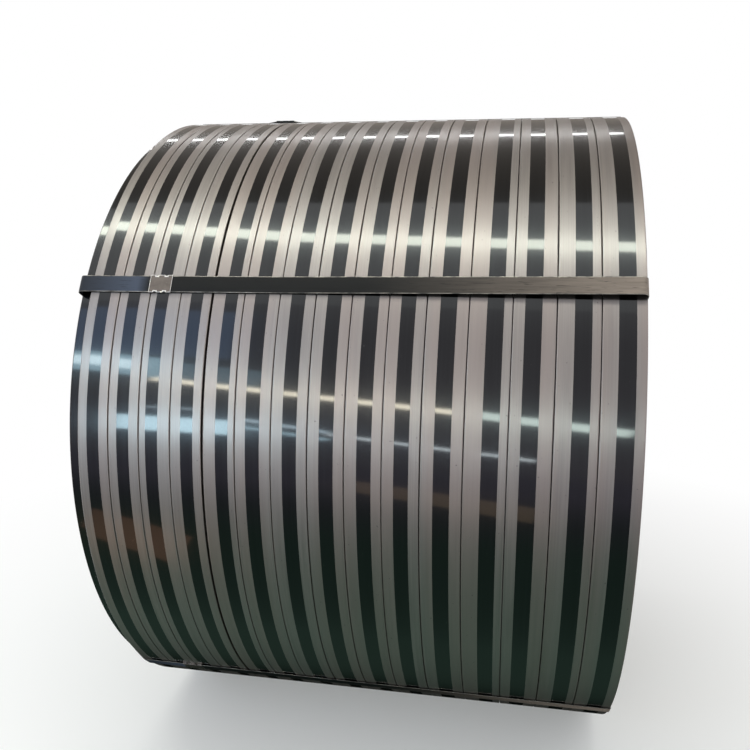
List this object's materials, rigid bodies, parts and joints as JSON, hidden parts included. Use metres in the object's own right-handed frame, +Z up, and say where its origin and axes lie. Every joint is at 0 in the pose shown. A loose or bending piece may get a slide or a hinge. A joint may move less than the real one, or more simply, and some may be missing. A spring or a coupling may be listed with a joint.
{
  "type": "strapped slit steel strip coils",
  "caption": "Steel coil slit into narrow strip coils that lie side by side on one level eye, tied through the eye by steel straps with crimped seals.",
  "frame": {"origin": "centre of the bore, at the middle of the pack's width", "axes": "+X along the bore axis to the right as seen from the front, -Y towards the front, +Z up"},
  "size_m": [1.0048, 1.35, 1.3571],
  "materials": {
    "steel_strip": "bright cold-rolled, satin with a dark polished stripe",
    "steel_strap": "black waxed steel strapping, scuffed",
    "strap_seal": "dull galvanised sheet"
  },
  "bodies": {
    "root": {"strip_coil_01": "steel_strip", "strip_coil_02": "steel_strip", "strip_coil_03": "steel_strip", "strip_coil_04": "steel_strip", "strip_coil_05": "steel_strip", "strip_coil_06": "steel_strip", "strip_coil_07": "steel_strip", "strip_coil_08": "steel_strip", "strip_coil_09": "steel_strip", "strip_coil_10": "steel_strip", "strip_coil_11": "steel_strip", "strip_coil_12": "steel_strip", "strip_coil_13": "steel_strip", "strip_coil_14": "steel_strip", "strip_coil_15": "steel_strip", "strip_coil_16": "steel_strip", "strap_front": "steel_strap", "strap_top": "steel_strap", "strap_bottom": "steel_strap", "seal_front": "strap_seal", "seal_top": "strap_seal", "seal_bottom": "strap_seal"}
  },
  "joints": []
}
